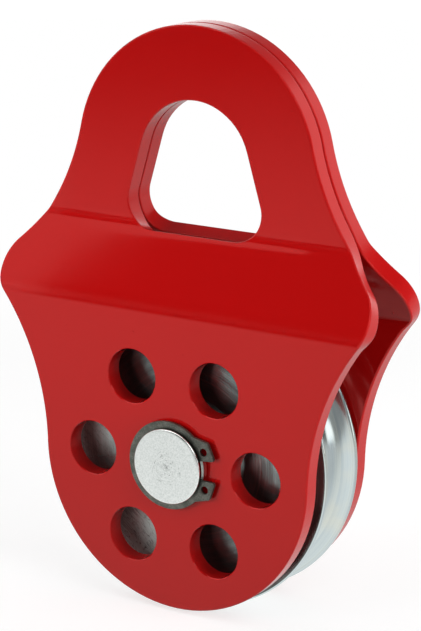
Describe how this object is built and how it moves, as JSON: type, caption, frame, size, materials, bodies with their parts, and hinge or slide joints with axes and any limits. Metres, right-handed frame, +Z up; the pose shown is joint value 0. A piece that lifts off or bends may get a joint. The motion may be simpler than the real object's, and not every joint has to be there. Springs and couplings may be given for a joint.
{
  "type": "snatch block",
  "caption": "Swing-side snatch block: two jogged cheek plates with face-to-face shackle eyes turn on a ring-held pin either side of a grooved sheave.",
  "frame": {"origin": "on the axle pin's axis, on the middle plane between the two cheek plates", "axes": "+Z up to the shackle eye, +Y along the pin to the rear plate, +X to the right"},
  "size_m": [0.1384, 0.0462, 0.191],
  "materials": {
    "red_coat": "glossy red powder coat with a slight orange peel",
    "zinc_plated_sheave": "bright zinc plate over turned steel",
    "zinc_plated_pin": "pale zinc plate with faint turning marks",
    "phosphated_spring_steel": "dark phosphate, satin",
    "bearing_bronze": "turned, oiled",
    "bare_steel": "ground"
  },
  "bodies": {
    "rear_cheek": {"rear_cheek_plate": "red_coat", "axle_pin": "zinc_plated_pin", "front_retaining_ring": "phosphated_spring_steel", "rear_retaining_ring": "phosphated_spring_steel", "front_thrust_washer": "bare_steel", "rear_thrust_washer": "bare_steel"},
    "front_cheek": {"front_cheek_plate": "red_coat"},
    "sheave": {"sheave": "zinc_plated_sheave", "sheave_bush": "bearing_bronze"}
  },
  "joints": [
    {"name": "front_cheek_swing", "type": "hinge", "parent": "rear_cheek", "child": "front_cheek", "pos_m": [0, 0, 0], "axis": [0, 1, 0], "continuous": true},
    {"name": "sheave_spin", "type": "hinge", "parent": "rear_cheek", "child": "sheave", "pos_m": [0, 0, 0], "axis": [0, 1, 0], "continuous": true}
  ]
}
